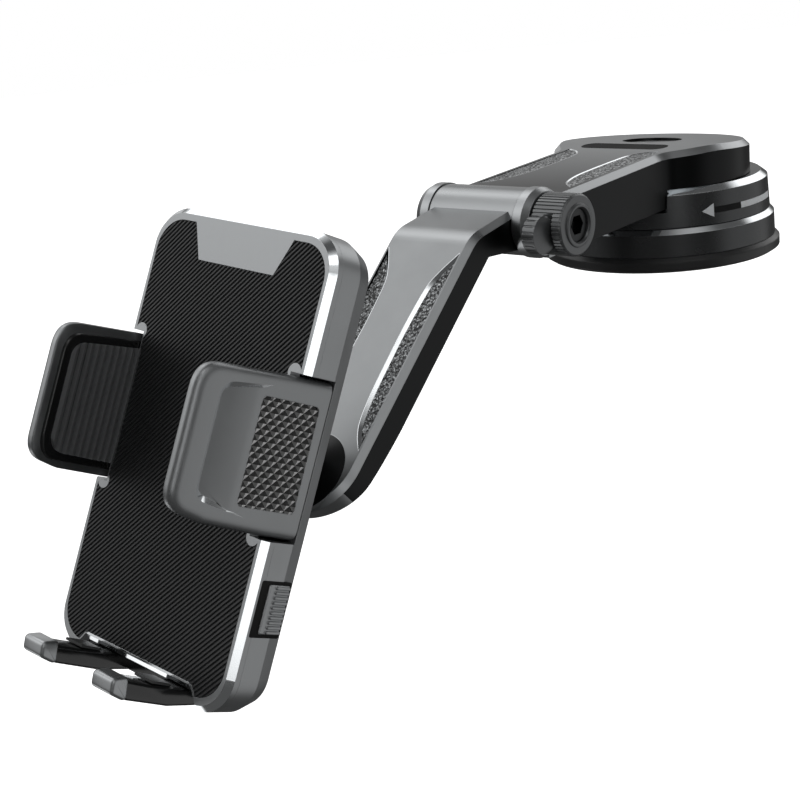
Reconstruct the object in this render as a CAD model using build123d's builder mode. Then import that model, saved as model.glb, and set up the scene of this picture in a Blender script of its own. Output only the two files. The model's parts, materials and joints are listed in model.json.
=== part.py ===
"""Car phone mount: suction base with a twist lock, folding two-piece arm, ball joint and clamping cradle."""
from build123d import *
from math import acos, cos, pi, radians, sin, sqrt, tan
import os

os.makedirs("parts", exist_ok=True)

# ---------------------------------------------------------------- driving dimensions, millimetres
GAP = 0.05                      # running clearance between turning faces
SCREW_GAP = 0.02                # clearance around a screw's shank

# Suction base. Origin: centre of the gel disc's underside.
GEL_R, GEL_T = 38.0, 4.6
GEL_POCKET_R, GEL_POCKET_Z = 9.2, 1.2
SKIRT_Z, SKIRT_TOP_Z = 4.65, 13.1
SKIRT_R, SKIRT_RIM_R, SKIRT_SEAT_R = 36.6, 36.4, 35.0
POST_R, POST_BORE_R, POST_TOP_Z = 12.0, 6.0, 25.2
DIAL_Z, DIAL_RIM_Z, DIAL_TOP_Z = 13.35, 23.3, 25.0
DIAL_R, DIAL_RIM_R, DIAL_TOP_R = 35.1, 34.5, 32.4
DIAL_WALL, DIAL_SLEEVE_R, DIAL_SLEEVE_Z = 2.5, 15.6, 9.0
DIAL_TURN = 60.0
NOTCH_R, NOTCH_HALF, NOTCH_Z = 26.8, 20.25, 18.2
LIFT = 1.5
PIN_R, PIN_Z, PIN_HALF = 1.48, 17.0, 14.8
RAMP_STEPS, RAMP_GAP = 26, 0.12
HUB_SCREW_R, HUB_SCREW_PCD = 1.25, 18.0

# Base arm. Its top plane falls gently from the hub to the hinge.
HUB_R, HUB_Y = 31.0, -4.0
ARM_TOP_Z, ARM_SLOPE = 37.9, 0.055
CREST_Y, CREST_R, BACK_FALL = -14.0, 60.0, 0.075
SLOT_Y, DISH_Y = -19.5, -3.0
ARM_HALF, ARM_WALL = 20.0, 2.6
ARM_DEEP_Y, ARM_DEEP_Z = -27.0, 19.4
HINGE_Y, HINGE_Z = -88.9, 26.9
EAR_R, EAR_FACE_R, EAR_IN, EAR_BEVEL = 9.85, 8.9, 15.15, 2.0
BOLT_R, NUT_FLATS, NUT_T = 3.0, 10.0, 3.0
TOP_BEVEL = 1.8
INLAY_DEPTH, INLAY_T, INLAY_GAP = 1.1, 0.5, 0.12

# Lower arm. s runs down its straight front face from the bend.
BARREL_R, BARREL_HALF = 9.5, 14.95
LOWER_HALF, LOWER_DEPTH = 14.8, 8.55
LOWER_LEAN = 47.8
BEND_Y, BEND_Z = -114.71, 27.52
TIP_S, STUD_S, STRAIGHT_S = 71.5, 75.0, 55.0
WASHER_R, WASHER_T = 8.2, 1.0

# Ball joint
BALL_R, NECK_R, BALL_HEIGHT = 8.5, 3.4, 14.5
LINER_R = 9.88
SOCKET_R, SOCKET_FLANGE_R = 12.0, 16.5
NUT_R = 14.6
LINER_OPENING, NUT_OPENING = 60.0, 63.0

# Cradle, in its own frame: centre of the ball, X to the right, Y up, Z out of the front plate
CRADLE_LEAN, CRADLE_ROLL = 24.6, 4.0
PLATE_W, PLATE_H, PLATE_R, PLATE_Y = 63.8, 112.2, 10.0, -5.0
REAR_Z, SIDE_Z, SEAM_Z, FRONT_Z = 13.8, 18.6, 24.5, 27.5
FLOOR_Z, REAR_BEVEL, FRONT_BEVEL, SHELL_WALL = 16.2, 1.7, 1.5, 2.5
JAW_LEAN, JAW_T, JAW_PAD_T, JAW_TRAVEL = 8.0, 3.0, 1.7, 15.0
JAW_SLOT_HALF, JAW_SLOT_IN, JAW_Z = 19.0, 26.5, 18.5
MODULE, PINION_TEETH, PRESSURE = 1.0, 14, 20.0
ADDENDUM, DEDENDUM, BACKLASH = 0.8, 1.1, 0.25
RACK_Z, RACK_T, RACK_BACK = 18.7, 3.8, 13.0
PINION_Z, PINION_T, PINION_BORE = 18.85, 3.5, 2.55
BUTTON_Y, BUTTON_L, BUTTON_W, BUTTON_PROUD = -34.3, 11.6, 6.6, 0.7
BUTTON_Z, BUTTON_STROKE = 19.6, 1.5
FOOT_HALF, LEG_IN, LEG_OUT = 16.0, 9.5, 17.0
CORNER_SCREWS = [(24.0, 38.0), (-24.0, 38.0), (24.0, -50.0), (-24.0, -50.0)]

# ---------------------------------------------------------------- reference planes
lean, tilt, roll = radians(LOWER_LEAN), radians(CRADLE_LEAN), radians(CRADLE_ROLL)
FACE = Plane(origin=(0, BEND_Y, BEND_Z), x_dir=(1, 0, 0), z_dir=(0, -cos(lean), sin(lean)))
STUD = Plane(origin=FACE.from_local_coords((0, -STUD_S, 0)), x_dir=FACE.x_dir, z_dir=FACE.z_dir)
BALL = Plane(origin=FACE.from_local_coords((0, -STUD_S, BALL_HEIGHT)), x_dir=(1, 0, 0), z_dir=FACE.z_dir)
CRADLE = Plane(
    origin=BALL.origin,
    x_dir=(cos(roll), -sin(roll) * sin(tilt), -sin(roll) * cos(tilt)),
    z_dir=(0, -cos(tilt), sin(tilt)),
)
HINGE_SIDE = Plane(origin=(0, HINGE_Y, HINGE_Z), x_dir=(1, 0, 0), z_dir=(0, -1, 0))
HINGE_END = Plane(origin=(0, HINGE_Y, HINGE_Z), x_dir=(0, 1, 0), z_dir=(1, 0, 0))
HINGE_AXIS = Axis((0, HINGE_Y, HINGE_Z), (1, 0, 0))
TOP = Plane(origin=(0, 0, ARM_TOP_Z), x_dir=(1, 0, 0), z_dir=(0, -ARM_SLOPE, 1))
TOP_BACK = Plane(origin=(0, CREST_Y, ARM_TOP_Z + ARM_SLOPE * CREST_Y), x_dir=(1, 0, 0), z_dir=(0, BACK_FALL, 1))
BALL_AXIS = Axis(BALL.origin, BALL.z_dir)
CRADLE_AXIS = Axis(CRADLE.origin, CRADLE.z_dir)


def on_cradle(plane):
    """A plane of the cradle's own frame, placed in the assembly."""
    return Plane(CRADLE.location * plane.location)


def level(z):
    """The cradle's plane at height z above the ball's centre."""
    return on_cradle(Plane.XY.offset(z))


def outline(plane, points):
    """A flat face with straight sides."""
    with BuildSketch(plane) as face:
        with BuildLine():
            Polyline(*points, close=True)
        make_face()
    return face.sketch


def block(plane, x_span, y_span):
    """A rectangle given by its limits."""
    return outline(plane, [(x_span[0], y_span[0]), (x_span[1], y_span[0]), (x_span[1], y_span[1]), (x_span[0], y_span[1])])


# ---------------------------------------------------------------- suction base
with BuildPart() as gel_disc:
    revolve(
        outline(Plane.XZ, [(0, 0), (GEL_R - 1.4, 0), (GEL_R, 0.9), (GEL_R, GEL_T - 1.2), (GEL_R - 1.2, GEL_T),
                           (GEL_POCKET_R, GEL_T), (GEL_POCKET_R, GEL_POCKET_Z), (0, GEL_POCKET_Z)]),
        axis=Axis.Z,
    )

with BuildPart() as base_skirt:
    revolve(
        outline(Plane.XZ, [(POST_BORE_R, SKIRT_Z), (SKIRT_R, SKIRT_Z), (SKIRT_RIM_R, SKIRT_TOP_Z - 1.5),
                           (SKIRT_SEAT_R, SKIRT_TOP_Z), (SKIRT_SEAT_R - 2, SKIRT_TOP_Z), (SKIRT_SEAT_R - 2, 7.2),
                           (POST_R, 7.2), (POST_R, POST_TOP_Z), (POST_BORE_R, POST_TOP_Z)]),
        axis=Axis.Z,
    )
    with BuildSketch(Plane.XY.offset(PIN_Z - LIFT - PIN_R - 0.1)):
        Rectangle(2 * POST_R + 2, 2 * PIN_R + 0.14)
    extrude(amount=LIFT + 2 * PIN_R + 0.2, mode=Mode.SUBTRACT)
    with BuildSketch(Plane.XY.offset(SKIRT_Z)):
        with PolarLocations(HUB_SCREW_PCD / 2, 4, start_angle=45):
            Circle(HUB_SCREW_R + 0.15)
    extrude(amount=POST_TOP_Z, mode=Mode.SUBTRACT)
    with BuildSketch(Plane.XY.offset(SKIRT_Z)):
        with PolarLocations(HUB_SCREW_PCD / 2, 4, start_angle=45):
            Circle(2.5)
    extrude(amount=2.1, mode=Mode.SUBTRACT)

with BuildPart() as lock_dial:
    revolve(
        outline(Plane.XZ, [(POST_R + 0.08, DIAL_SLEEVE_Z), (DIAL_SLEEVE_R, DIAL_SLEEVE_Z), (DIAL_SLEEVE_R, 22.8),
                           (DIAL_R - DIAL_WALL, 22.8), (DIAL_R - DIAL_WALL, DIAL_Z), (DIAL_R, DIAL_Z),
                           (DIAL_RIM_R, DIAL_RIM_Z), (DIAL_TOP_R, DIAL_TOP_Z), (POST_R + 0.08, DIAL_TOP_Z)]),
        axis=Axis.Z,
    )
    for turned in (0, -DIAL_TURN):
        notch_plane = Plane.XY.rotated((0, 0, turned)).offset(NOTCH_Z)
        extrude(block(notch_plane, (-NOTCH_HALF, NOTCH_HALF), (-60, -NOTCH_R)), amount=20, mode=Mode.SUBTRACT)
    with BuildSketch(Plane.XY.offset(NOTCH_Z)):
        with BuildLine():
            Polyline((0, 0), (0, -60), (-60 * sin(radians(DIAL_TURN)), -60 * cos(radians(DIAL_TURN))), close=True)
        make_face()
        Circle(NOTCH_R, mode=Mode.SUBTRACT)
    extrude(amount=20, mode=Mode.SUBTRACT)
    # helical slot that lifts and lowers the cross pin, both ends of it
    for step in range(RAMP_STEPS + 1):
        turned = DIAL_TURN * (0.5 - 1.04 * (step / RAMP_STEPS - 0.5))
        across = Plane(
            origin=(0, 0, PIN_Z - LIFT * turned / DIAL_TURN),
            x_dir=(0, 0, 1),
            z_dir=(cos(radians(turned)), -sin(radians(turned)), 0),
        )
        with BuildSketch(across):
            Circle(PIN_R + RAMP_GAP)
        extrude(amount=DIAL_SLEEVE_R + 1, both=True, mode=Mode.SUBTRACT)

with BuildPart() as lift_plunger:
    revolve(
        outline(Plane.XZ, [(0, 3.0), (GEL_POCKET_R - 0.6, 3.0), (GEL_POCKET_R - 0.6, 4.4), (POST_BORE_R - 0.08, 4.4),
                           (POST_BORE_R - 0.08, 22.0), (0, 22.0)]),
        axis=Axis.Z,
    )
    with BuildSketch(Plane.YZ):
        with Locations((0, PIN_Z)):
            Circle(PIN_R + SCREW_GAP)
    extrude(amount=POST_R, both=True, mode=Mode.SUBTRACT)

with BuildPart() as cam_pin:
    with BuildSketch(Plane.YZ):
        with Locations((0, PIN_Z)):
            Circle(PIN_R)
    extrude(amount=PIN_HALF, both=True)

with BuildPart() as hub_screws:
    with BuildSketch(Plane.XY.offset(SKIRT_Z + 0.1)):
        with PolarLocations(HUB_SCREW_PCD / 2, 4, start_angle=45):
            Circle(2.4)
    extrude(amount=1.95)
    with BuildSketch(Plane.XY.offset(SKIRT_Z + 1.0)):
        with PolarLocations(HUB_SCREW_PCD / 2, 4, start_angle=45):
            Circle(HUB_SCREW_R)
    extrude(amount=27)

# ---------------------------------------------------------------- base arm
GROOVE = [(16.9, -25.0), (12.5, -27.5), (9.6, -32.0), (8.9, -40.0), (8.8, -50.0), (9.4, -60.0), (12.0, -68.0),
          (16.9, -73.0)]


def groove_face(plane, points, shrink=0.0):
    """A pair of lens-shaped areas, one each side of the arm's middle."""
    edge_x = points[0][0]
    inner = [(x + shrink, y) for x, y in points[1:-1]]
    ends = [(edge_x - shrink, points[0][1] - 2 * shrink), (edge_x - shrink, points[-1][1] + 2 * shrink)]
    with BuildSketch(plane) as face:
        with BuildLine():
            Spline(ends[0], *inner, ends[1])
            Line(ends[1], ends[0])
        make_face()
        mirror(about=Plane.YZ)
    return face.sketch


with BuildPart() as base_arm:
    with BuildSketch(Plane.XY.offset(POST_TOP_Z)) as plan:
        with Locations((0, HUB_Y)):
            Circle(HUB_R)
        with Locations((0, HINGE_Y / 2)):
            Rectangle(2 * ARM_HALF, -HINGE_Y)
        fillet(plan.vertices().filter_by_position(Axis.Y, -40, -10), radius=9)
    extrude(amount=20)
    extrude(
        outline(Plane.YZ, [(ARM_DEEP_Y, ARM_TOP_Z - 8), (ARM_DEEP_Y, ARM_DEEP_Z), (HINGE_Y, HINGE_Z - EAR_R),
                           (HINGE_Y, ARM_TOP_Z - 8)]),
        amount=ARM_HALF, both=True,
    )
    split(bisect_by=TOP, keep=Keep.BOTTOM)
    split(bisect_by=TOP_BACK, keep=Keep.BOTTOM)
    crest = base_arm.edges().filter_by(lambda e: abs(e.center().Y - CREST_Y) < 0.1 and e.length > 2 * ARM_HALF)
    fillet(crest, radius=CREST_R)
    tops = base_arm.faces().filter_by(lambda f: f.normal_at().Z > 0.98 and f.center().Z > POST_TOP_Z + 5)
    rim = tops.edges().filter_by(lambda e: not (e.length > 2 * ARM_HALF and abs(e.center().Y - CREST_Y) < CREST_R / 8))
    chamfer(rim, length=TOP_BEVEL)
    revolve(
        outline(HINGE_SIDE, [(-ARM_HALF, 0), (-ARM_HALF, EAR_FACE_R), (EAR_BEVEL - ARM_HALF, EAR_R),
                             (ARM_HALF - EAR_BEVEL, EAR_R), (ARM_HALF, EAR_FACE_R), (ARM_HALF, 0)]),
        axis=HINGE_AXIS,
    )
    # gap between the two ears
    with BuildSketch(Plane.YZ):
        with Locations((HINGE_Y, HINGE_Z)):
            Circle(BARREL_R + 0.8)
        with Locations((HINGE_Y - 15, HINGE_Z)):
            Rectangle(30, 40)
    extrude(amount=EAR_IN, both=True, mode=Mode.SUBTRACT)
    with BuildSketch(HINGE_END):
        Circle(BOLT_R + 0.08)
    extrude(amount=ARM_HALF + 5, both=True, mode=Mode.SUBTRACT)
    with BuildSketch(HINGE_END.offset(-ARM_HALF)):
        RegularPolygon(NUT_FLATS / 2 + GAP, 6, major_radius=False)
    extrude(amount=NUT_T, mode=Mode.SUBTRACT)
    # hollow beam, hollow hub with a middle boss
    extrude(
        block(Plane.XY.offset(10), (ARM_WALL - ARM_HALF, ARM_HALF - ARM_WALL), (-75, -31)),
        amount=21.4, mode=Mode.SUBTRACT,
    )
    with BuildSketch(Plane.XY.offset(POST_TOP_Z)):
        Circle(23.5)
        Circle(13, mode=Mode.SUBTRACT)
    extrude(amount=7, mode=Mode.SUBTRACT)
    with BuildSketch(Plane.XY.offset(POST_TOP_Z)):
        with PolarLocations(HUB_SCREW_PCD / 2, 4, start_angle=45):
            Circle(HUB_SCREW_R + SCREW_GAP)
    extrude(amount=8.5, mode=Mode.SUBTRACT)
    with BuildSketch(Plane.XY.offset(10)):
        with Locations((0, -40), (0, -66)):
            Circle(3.2)
    extrude(amount=21.5)
    extrude(block(Plane.XY.offset(5), (-10, 10), (-80, -30)), amount=16.2, mode=Mode.SUBTRACT)
    with BuildSketch(Plane.XY.offset(10)):
        with Locations((0, -40), (0, -66)):
            Circle(1.25 + SCREW_GAP)
    extrude(amount=20, mode=Mode.SUBTRACT)
    # top features
    extrude(groove_face(TOP, GROOVE), amount=-INLAY_DEPTH, mode=Mode.SUBTRACT)
    with BuildSketch(TOP):
        with Locations((0, SLOT_Y)):
            SlotOverall(31, 7.5)
    extrude(amount=-1.4, mode=Mode.SUBTRACT)
    for radius, depth in ((9.5, 0.9), (3.2, 2.4)):
        with BuildSketch(TOP_BACK.offset(0.5)):
            with Locations((0, DISH_Y - CREST_Y)):
                Circle(radius)
        extrude(amount=-0.5 - depth, mode=Mode.SUBTRACT)

with BuildPart() as base_arm_inlays:
    extrude(groove_face(TOP.offset(-INLAY_DEPTH), GROOVE, INLAY_GAP), amount=INLAY_T)

with BuildPart() as base_arm_cover:
    extrude(block(Plane.XY.offset(19.4), (-17.3, 17.3), (-74.9, -31.1)), amount=1.7)
    with BuildSketch(Plane.XY.offset(19.4)):
        with Locations((0, -40), (0, -66)):
            Circle(1.4)
    extrude(amount=1.7, mode=Mode.SUBTRACT)

with BuildPart() as base_cover_screws:
    with BuildSketch(Plane.XY.offset(17.7)):
        with Locations((0, -40), (0, -66)):
            Circle(2.4)
    extrude(amount=1.68)
    with BuildSketch(Plane.XY.offset(19.0)):
        with Locations((0, -40), (0, -66)):
            Circle(1.25)
    extrude(amount=9)

# ---------------------------------------------------------------- hinge hardware
with BuildPart() as hinge_bolt:
    revolve(
        outline(HINGE_SIDE, [(-19.5, 0), (-19.5, BOLT_R), (24.1, BOLT_R), (24.1, 4.55), (30.0, 4.55), (30.0, 0)]),
        axis=HINGE_AXIS,
    )
    with BuildSketch(HINGE_END.offset(30.0)):
        RegularPolygon(2.5, 6, major_radius=False)
    extrude(amount=-3.2, mode=Mode.SUBTRACT)

with BuildPart() as hinge_nut:
    with BuildSketch(HINGE_END.offset(GAP - ARM_HALF)):
        RegularPolygon(NUT_FLATS / 2, 6, major_radius=False)
        Circle(BOLT_R + GAP, mode=Mode.SUBTRACT)
    extrude(amount=NUT_T - 0.1)

WING_ANGLE = 12.0
with BuildPart() as hinge_knob:
    with BuildSketch(HINGE_END.offset(20.4)):
        Circle(8.2)
    extrude(amount=6.6)
    with BuildSketch(HINGE_END.offset(20.4).rotated((WING_ANGLE, 0, 0))):
        SlotOverall(26.0, 10.6)
    extrude(amount=5.4)
    with BuildSketch(HINGE_END.offset(27.0)):
        Circle(8.6)
    extrude(amount=3.6)
    with BuildSketch(HINGE_END.offset(30.6)):
        Circle(5.8)
    extrude(amount=0.6)
    with BuildSketch(HINGE_END.offset(20.4)):
        Circle(BOLT_R + SCREW_GAP)
    extrude(amount=12, mode=Mode.SUBTRACT)
    with BuildSketch(HINGE_END.offset(24.08)):
        Circle(4.55 + SCREW_GAP)
    extrude(amount=12, mode=Mode.SUBTRACT)

with BuildPart() as friction_washers:
    for side in (1, -1):
        with BuildSketch(Plane(origin=(side * (EAR_IN - 0.03), HINGE_Y, HINGE_Z), x_dir=(0, 1, 0), z_dir=(-side, 0, 0))):
            Circle(WASHER_R)
            Circle(BOLT_R + 0.09, mode=Mode.SUBTRACT)
        extrude(amount=WASHER_T)

# ---------------------------------------------------------------- lower arm


def down(s, depth=0.0):
    """Point of the side view, s along the front face and depth behind it."""
    return (BEND_Y - s * sin(lean) + depth * cos(lean), BEND_Z - s * cos(lean) - depth * sin(lean))


LENS = [(12.7, -5.0), (9.2, -11.5), (7.4, -17.0), (6.8, -28.0), (6.9, -38.0), (7.3, -50.0), (8.3, -58.0),
        (10.0, -62.5), (12.7, -66.5)]

with BuildPart() as lower_arm:
    with BuildSketch(Plane.YZ) as side_view:
        with BuildLine():
            Polyline(down(STRAIGHT_S, LOWER_DEPTH), down(0, LOWER_DEPTH), (-94.0, 20.3), (-92.0, 32.3), down(-1.0),
                     down(90), down(90, 2.6))
            Spline(down(90, 2.6), down(82, 5.2), down(74, 6.9), down(65, 8.0), down(STRAIGHT_S, LOWER_DEPTH))
        make_face()
        fillet(side_view.vertices().sort_by_distance(Vector(*down(-1.0)))[0], radius=12)
    extrude(amount=LOWER_HALF, both=True)
    with BuildSketch(FACE.offset(20)):
        with Locations((0, -TIP_S - 15)):
            Rectangle(2 * LOWER_HALF + 4, 30)
        with Locations((0, -TIP_S)):
            Circle(LOWER_HALF, mode=Mode.SUBTRACT)
    extrude(amount=-60, mode=Mode.SUBTRACT)
    front = lower_arm.faces().filter_by(lambda f: f.normal_at().dot(FACE.z_dir) > 0.5 and f.area > 100)
    rim = front.edges().filter_by(lambda e: abs(e.center().X) > LOWER_HALF - 0.1)
    rim += front.edges().filter_by(GeomType.CIRCLE).filter_by(lambda e: e.radius > 10 and e.center().Z < 0)
    chamfer(rim, length=1.6)
    revolve(outline(HINGE_SIDE, [(-BARREL_HALF, 0), (-BARREL_HALF, BARREL_R), (BARREL_HALF, BARREL_R), (BARREL_HALF, 0)]),
            axis=HINGE_AXIS)
    with BuildSketch(HINGE_END):
        Circle(BOLT_R + 0.08)
    extrude(amount=BARREL_HALF + 1, both=True, mode=Mode.SUBTRACT)
    for side in (1, -1):
        with BuildSketch(Plane(origin=(side * BARREL_HALF, HINGE_Y, HINGE_Z), x_dir=(0, 1, 0), z_dir=(-side, 0, 0))):
            Circle(WASHER_R + 0.1)
        extrude(amount=WASHER_T - 0.1, mode=Mode.SUBTRACT)
    extrude(groove_face(FACE, LENS), amount=-INLAY_DEPTH, mode=Mode.SUBTRACT)
    revolve(
        outline(STUD.rotated((90, 0, 0)), [(0, -1), (11.5, -1), (11.5, 0), (4.5, 3.5), (0, 3.5)]),
        axis=BALL_AXIS,
    )
    with BuildSketch(STUD.offset(4)):
        Circle(2.5 + SCREW_GAP)
    extrude(amount=-8.5, mode=Mode.SUBTRACT)
    # hollow back
    extrude(block(FACE.offset(-LOWER_DEPTH - 1), (-12.3, 12.3), (-54, -6)), amount=6.0, mode=Mode.SUBTRACT)
    with BuildSketch(FACE.offset(-LOWER_DEPTH + 1.7)):
        with Locations((0, -13), (0, -47)):
            Circle(3)
    extrude(amount=4)
    with BuildSketch(FACE.offset(-LOWER_DEPTH + 1.6)):
        with Locations((0, -13), (0, -47)):
            Circle(1.1 + SCREW_GAP)
    extrude(amount=4.6, mode=Mode.SUBTRACT)

with BuildPart() as lower_arm_inlays:
    extrude(groove_face(FACE.offset(-INLAY_DEPTH), LENS, INLAY_GAP), amount=INLAY_T)

with BuildPart() as lower_arm_cover:
    extrude(block(FACE.offset(-LOWER_DEPTH), (-12.2, 12.2), (-53.9, -6.1)), amount=1.65)
    with BuildSketch(FACE.offset(-LOWER_DEPTH)):
        with Locations((0, -13), (0, -47)):
            Circle(2.2)
    extrude(amount=1.0, mode=Mode.SUBTRACT)
    with BuildSketch(FACE.offset(-LOWER_DEPTH)):
        with Locations((0, -13), (0, -47)):
            Circle(1.25)
    extrude(amount=3, mode=Mode.SUBTRACT)

with BuildPart() as lower_cover_screws:
    with BuildSketch(FACE.offset(-LOWER_DEPTH)):
        with Locations((0, -13), (0, -47)):
            Circle(2.1)
    extrude(amount=0.95)
    with BuildSketch(FACE.offset(-LOWER_DEPTH + 0.5)):
        with Locations((0, -13), (0, -47)):
            Circle(1.1)
    extrude(amount=5.4)

# ---------------------------------------------------------------- ball joint
with BuildPart() as ball_stud:
    revolve(
        outline(STUD.rotated((90, 0, 0)), [(0, -4.4), (2.5, -4.4), (2.5, 3.52), (NECK_R, 3.52), (NECK_R, 8), (0, 8)]),
        axis=BALL_AXIS,
    )
    with Locations(BALL.location):
        Sphere(BALL_R)


def ball_wedge(opening):
    """Half section of the cone left open around the ball's neck, in the cradle's side view."""
    reach = 40.0
    edge = (reach * sin(radians(opening)), -reach * cos(radians(opening)))
    return [(0, 0), (0, -reach), (edge[0], -reach), edge]


with BuildPart() as ball_liner:
    with BuildSketch(on_cradle(Plane.XZ)) as liner_half:
        Circle(LINER_R)
        Circle(BALL_R + GAP, mode=Mode.SUBTRACT)
        with Locations((-LINER_R, 0)):
            Rectangle(2 * LINER_R, 4 * LINER_R, mode=Mode.SUBTRACT)
        with BuildLine():
            Polyline(*ball_wedge(LINER_OPENING), close=True)
        make_face(mode=Mode.SUBTRACT)
    revolve(axis=CRADLE_AXIS)

with BuildPart() as ball_nut:
    with BuildSketch(on_cradle(Plane.XZ)) as nut_half:
        with BuildLine():
            Polyline((SOCKET_R + 0.08, 11.3), (NUT_R, 11.3), (NUT_R, -2.5), (NUT_R - 3, -5.5), (0, -5.5), (0, 0.5),
                     (SOCKET_R + 0.08, 0.5), close=True)
        make_face()
        Circle(LINER_R + GAP, mode=Mode.SUBTRACT)
        with BuildLine():
            Polyline(*ball_wedge(NUT_OPENING), close=True)
        make_face(mode=Mode.SUBTRACT)
    revolve(axis=CRADLE_AXIS)

with BuildPart() as ball_socket:
    with BuildSketch(on_cradle(Plane.XZ)) as socket_half:
        with BuildLine():
            Polyline((0, REAR_Z), (SOCKET_FLANGE_R, REAR_Z), (SOCKET_FLANGE_R, 11.6), (SOCKET_R, 11.6), (SOCKET_R, 0.6),
                     (0, 0.6), close=True)
        make_face()
        Circle(LINER_R + GAP, mode=Mode.SUBTRACT)
    revolve(axis=CRADLE_AXIS)
    with BuildSketch(level(11.9)):
        with PolarLocations(14.2, 4, start_angle=45):
            Circle(1.1 + SCREW_GAP)
    extrude(amount=4, mode=Mode.SUBTRACT)

with BuildPart() as socket_screws:
    with BuildSketch(level(12.0)):
        with PolarLocations(14.2, 4, start_angle=45):
            Circle(1.1)
    extrude(amount=FLOOR_Z - 12.0)
    with BuildSketch(level(FLOOR_Z + 0.02)):
        with PolarLocations(14.2, 4, start_angle=45):
            Circle(2.2)
    extrude(amount=1.4)

# ---------------------------------------------------------------- cradle shell


def rounded(z, inset, radius):
    """The cradle's outline at height z, moved in by inset."""
    with BuildSketch(level(z)) as face:
        with Locations((0, PLATE_Y)):
            RectangleRounded(PLATE_W - 2 * inset, PLATE_H - 2 * inset, radius)
    return face.sketch


FOOT_OPENING = [(-20, -56), (20, -56), (24.5, -62), (-24.5, -62)]

with BuildPart() as rear_shell:
    loft([rounded(REAR_Z, REAR_BEVEL, PLATE_R - REAR_BEVEL).face(), rounded(SIDE_Z, 0, PLATE_R).face()])
    extrude(rounded(SIDE_Z, 0, PLATE_R), amount=SEAM_Z - SIDE_Z)
    extrude(rounded(FLOOR_Z, SHELL_WALL, PLATE_R - SHELL_WALL), amount=SEAM_Z - FLOOR_Z, mode=Mode.SUBTRACT)
    for side in (1, -1):
        jaw_span = sorted((side * JAW_SLOT_IN, side * (PLATE_W / 2 + 1)))
        extrude(block(level(JAW_Z - 0.6), jaw_span, (-JAW_SLOT_HALF, JAW_SLOT_HALF)), amount=10, mode=Mode.SUBTRACT)
        extrude(
            block(level(BUTTON_Z - BUTTON_W / 2 - 0.15), sorted((side * 28, side * 33)),
                  (BUTTON_Y - BUTTON_L / 2 - 0.2, BUTTON_Y + BUTTON_L / 2 + 0.2)),
            amount=BUTTON_W + 0.3, mode=Mode.SUBTRACT,
        )
    extrude(outline(level(18.3), FOOT_OPENING), amount=10, mode=Mode.SUBTRACT)
    # rails for the two racks and for the foot
    for side in (1, -1):
        extrude(block(level(FLOOR_Z), (-25.5, 25.5), sorted((side * 13.15, side * 15.0))), amount=6.6)
        extrude(block(level(FLOOR_Z), (-25.5, 25.5), sorted((side * 9.5, side * 11.5))), amount=2.4)
        extrude(block(level(FLOOR_Z), sorted((side * 16.2, side * 18.0)), (-56, -29)), amount=6.0)
    with BuildSketch(level(FLOOR_Z)):
        with PolarLocations(14.2, 4, start_angle=45):
            Circle(2.35)
    extrude(amount=2.6, mode=Mode.SUBTRACT)
    with BuildSketch(level(REAR_Z)):
        with PolarLocations(14.2, 4, start_angle=45):
            Circle(1.1 + SCREW_GAP)
    extrude(amount=5, mode=Mode.SUBTRACT)
    with BuildSketch(level(FLOOR_Z)):
        Circle(4)
    extrude(amount=PINION_Z - FLOOR_Z - 0.05)
    with BuildSketch(level(FLOOR_Z)):
        Circle(PINION_BORE - GAP)
    extrude(amount=7.3)
    with BuildSketch(level(FLOOR_Z)):
        with Locations(*CORNER_SCREWS):
            Circle(3)
    extrude(amount=SEAM_Z - FLOOR_Z)
    with BuildSketch(level(REAR_Z)):
        with Locations(*CORNER_SCREWS):
            Circle(2.4)
    extrude(amount=1.6, mode=Mode.SUBTRACT)
    with BuildSketch(level(REAR_Z)):
        with Locations(*CORNER_SCREWS):
            Circle(1.3)
    extrude(amount=12, mode=Mode.SUBTRACT)

with BuildPart() as shell_screws:
    with BuildSketch(level(REAR_Z + 0.1)):
        with Locations(*CORNER_SCREWS):
            Circle(2.3)
    extrude(amount=1.5)
    with BuildSketch(level(REAR_Z + 1)):
        with Locations(*CORNER_SCREWS):
            Circle(1.15)
    extrude(amount=11.2)

PAD_EDGE = 2.5


def pad_face(z, grow=0.0):
    """Outline of the rubber pad on the front plate."""
    with BuildSketch(level(z)) as face:
        with Locations((0, PLATE_Y)):
            RectangleRounded(PLATE_W - 2 * PAD_EDGE + 2 * grow, PLATE_H - 2 * PAD_EDGE - 1.5 + 2 * grow, 8)
        with BuildLine():
            Polyline((-13.3 + grow, 39 + grow), (13.3 - grow, 39 + grow), (19.2 - grow, 52), (-19.2 + grow, 52), close=True)
        make_face(mode=Mode.SUBTRACT)
        for side in (1, -1):
            with Locations((side * (26.2 + grow + 5), 0)):
                Rectangle(10, 2 * (JAW_SLOT_HALF + 0.3 - grow), mode=Mode.SUBTRACT)
            with Locations((side * 27.6, JAW_SLOT_HALF), (side * 27.6, -JAW_SLOT_HALF)):
                Circle(2.2 - grow, mode=Mode.SUBTRACT)
        with BuildLine():
            Polyline((-20.4 + grow, -55.6 - grow), (20.4 - grow, -55.6 - grow), (25, -62), (-25, -62), close=True)
        make_face(mode=Mode.SUBTRACT)
    return face.sketch


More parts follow.
